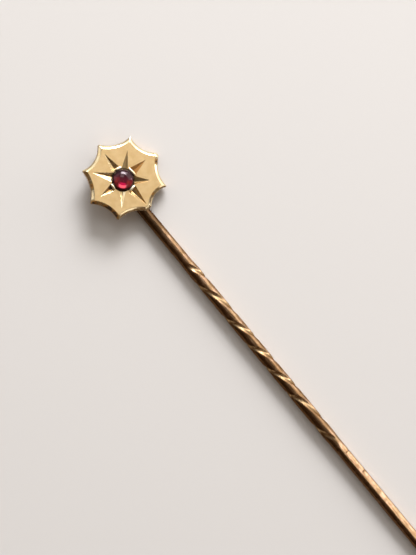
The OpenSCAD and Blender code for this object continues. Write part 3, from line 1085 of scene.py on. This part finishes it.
def make_stem(material):
    """The wire: a grid rolled up, with two grooves that wind round its twisted stretch, and a sharp end."""
    narrowing = STEM_R - TIP_R
    shape = Shape("twisted_wire", {
        "Wire radius": STEM_R, "Twist radius": TWIST_R, "Groove depth": GROOVE_DEPTH + GROOVE_WEAR,
        "Half groove": math.radians(GROOVE_ARC / 2), "Easy wall": math.radians(EASY_WALL),
        "First groove": math.radians(GROOVE_TURN), "Twist top": TWIST[0][0],
        "Twist bottom": TWIST[-1][0], "Twist fade": TWIST_FADE,
        "Upper end": -STEM_END, "Point start": POINT_START,
        "Point curve": ((POINT_END - POINT_START) ** 2 + narrowing ** 2) / (2 * narrowing),
        "Sides": STEM_SIDES, "Rings": STEM_RINGS, "Material": material})
    given, maths, plus, minus, times = shape.given, shape.maths, shape.plus, shape.minus, shape.times

    grid = shape.node("GeometryNodeMeshGrid", {
        "Size X": 1, "Size Y": 1, "Vertices X": plus(given["Sides"], 1.0), "Vertices Y": given["Rings"]})
    x, y, _ = shape.split(shape.node("GeometryNodeInputPosition").outputs[0])
    around = times(plus(x, 0.5), math.tau)
    down = plus(y, 0.5)
    station = curve_through(shape, down, RING_SHARE, -STEM_END, POINT_END, True)
    turned = curve_through(shape, station, TWIST, 0, TWIST[-1][1], False)
    angle = minus(plus(around, given["First groove"]), maths("RADIANS", turned))

    from_ends = maths("MINIMUM", minus(station, given["Twist top"]), minus(given["Twist bottom"], station))
    twisted = shape.ramp(from_ends, 0.0, given["Twist fade"])
    groove = times(groove_section(shape, around), twisted)
    skin = plus(given["Wire radius"], times(twisted, minus(given["Twist radius"], given["Wire radius"])))
    wire_r = minus(skin, times(groove, given["Groove depth"]))
    drop, grime = end_drops(shape, station), 0.0
    for mark in (NICK, PIT):
        share = dent(shape, station, angle, mark)
        grime = plus(share, grime)
        drop = plus(drop, times(share, mark["depth"]))
    drop = plus(drop, flat_drop(shape, station, angle))
    inside = times(maths("GREATER_THAN", down, END_RING), maths("LESS_THAN", down, 1 - END_RING))
    radius = times(minus(wire_r, drop), inside)

    wire = grid.outputs[0]
    for name, value in (("groove", groove), ("grime", grime)):
        inputs = {"Geometry": wire, "Name": name, "Value": value}
        kept = shape.node("GeometryNodeStoreNamedAttribute", inputs, data_type="FLOAT", domain="POINT")
        wire = kept.outputs[0]
    rolled = shape.join(times(radius, maths("COSINE", angle)), times(station, -1.0),
                        times(radius, maths("SINE", angle)))
    shape.end(shape.moved(wire, position=rolled))
    mesh = closed(shape.mesh_from(plain_mesh("wire", [], [])), MERGE_WIRE)
    piece("stem", mesh, [material], "gold_pin")


# The solder: start, end and run-out along the stem, half width of its foot at an end and its gain in the
# middle, where it meets the wire at an end in degrees and how much lower in the middle, the bend of its
# hollow side, and how deep it goes into the plate and the wire
SOLDER_START = -3.0
SOLDER_END = 2.3
SOLDER_RUN_OUT = 0.9
SOLDER_FOOT = 0.34
SOLDER_SPREAD = 0.46
SOLDER_TURN = 46
SOLDER_TURN_DROP = 30
SOLDER_BEND = Vector((0.42, BACK_H - 0.06))
SOLDER_BURIED = 0.08
SOLDER_SKIN = 0.01
SOLDER_IN_WIRE = 0.8
# Past this place the wire ends and the solder sinks towards the plate
SOLDER_SINK = STEM_END - 0.3
SOLDER_STEPS = 34
SOLDER_SIDE_STEPS = 8


def solder_side(y):
    """The right-hand side of the solder's section at y, from inside the plate to inside the wire."""
    near_end = min(1.0, min(y - SOLDER_START, SOLDER_END - y) / SOLDER_RUN_OUT)
    bank = math.sqrt(max(0.0, 1 - (1 - near_end) ** 2))
    wobble = 1 + 0.05 * math.sin(2.3 * y + 0.7) + 0.03 * math.sin(5.1 * y)
    foot = Vector((SOLDER_FOOT + SOLDER_SPREAD * bank * wobble, BACK_H))
    angle = math.radians(SOLDER_TURN - SOLDER_TURN_DROP * bank)
    top = Vector((math.cos(angle), math.sin(angle))) * (STEM_R - SOLDER_SKIN)
    side = [Vector((foot.x, BACK_H + SOLDER_BURIED))]
    for k in range(SOLDER_SIDE_STEPS + 1):
        t = k / SOLDER_SIDE_STEPS
        side.append(foot * (1 - t) ** 2 + SOLDER_BEND * 2 * t * (1 - t) + top * t * t)
    side.append(top * SOLDER_IN_WIRE)
    if y > SOLDER_SINK:
        left = max(0.0, (SOLDER_END - y) / (SOLDER_END - SOLDER_SINK)) ** 0.5
        rise = bank * min(1.0, left + 0.15 * near_end)
        for p in side:
            p.x *= 0.5 + 0.5 * rise
            p.y = BACK_H + (p.y - BACK_H) * (rise if p.y < BACK_H else 1)
    return side


def make_solder(material):
    """The solder between stem and plate: a hollow-sided bank that runs out at both ends."""
    corners = []
    for step in range(SOLDER_STEPS + 1):
        share = (1 - math.cos(math.pi * step / SOLDER_STEPS)) / 2
        y = SOLDER_START + (SOLDER_END - SOLDER_START) * share
        side = solder_side(y)
        corners += [(p.x, y, p.y) for p in side] + [(-p.x, y, p.y) for p in reversed(side)]
    n = 2 * len(side)
    faces = stack_faces(SOLDER_STEPS + 1, n)
    faces += [tuple(range(n)), tuple(reversed(range(len(corners) - n, len(corners))))]
    piece("solder", closed(plain_mesh("solder", corners, faces)), [material], "gold_pin")


# The stone's soft lower edge, and steps up its dome
STONE_SOFT = 0.03
DOME_STEPS = 28


def make_stone(material):
    """The domed garnet: flat base, upright edge, and a dome that is fuller at its shoulder than a ball."""
    profile = [(0.0, -STONE_SINK), (STONE_R - STONE_SOFT, -STONE_SINK), (STONE_R, -STONE_SINK + STONE_SOFT)]
    for k in range(DOME_STEPS + 1):
        turn = math.pi / 2 * k / DOME_STEPS
        profile.append((STONE_R * math.cos(turn), (STONE_RISE + STONE_EDGE) * math.sin(turn) - STONE_EDGE))
    piece("garnet_stone", turned_mesh("garnet", profile, SETTING), [material], "garnet")


make_camera()
make_studio()
filed_gold = back_material()
make_head([satin_material(), bright_material(), filed_gold, rubbed_material()])
make_stem(stem_material())
make_solder(filed_gold)
make_stone(garnet_material())
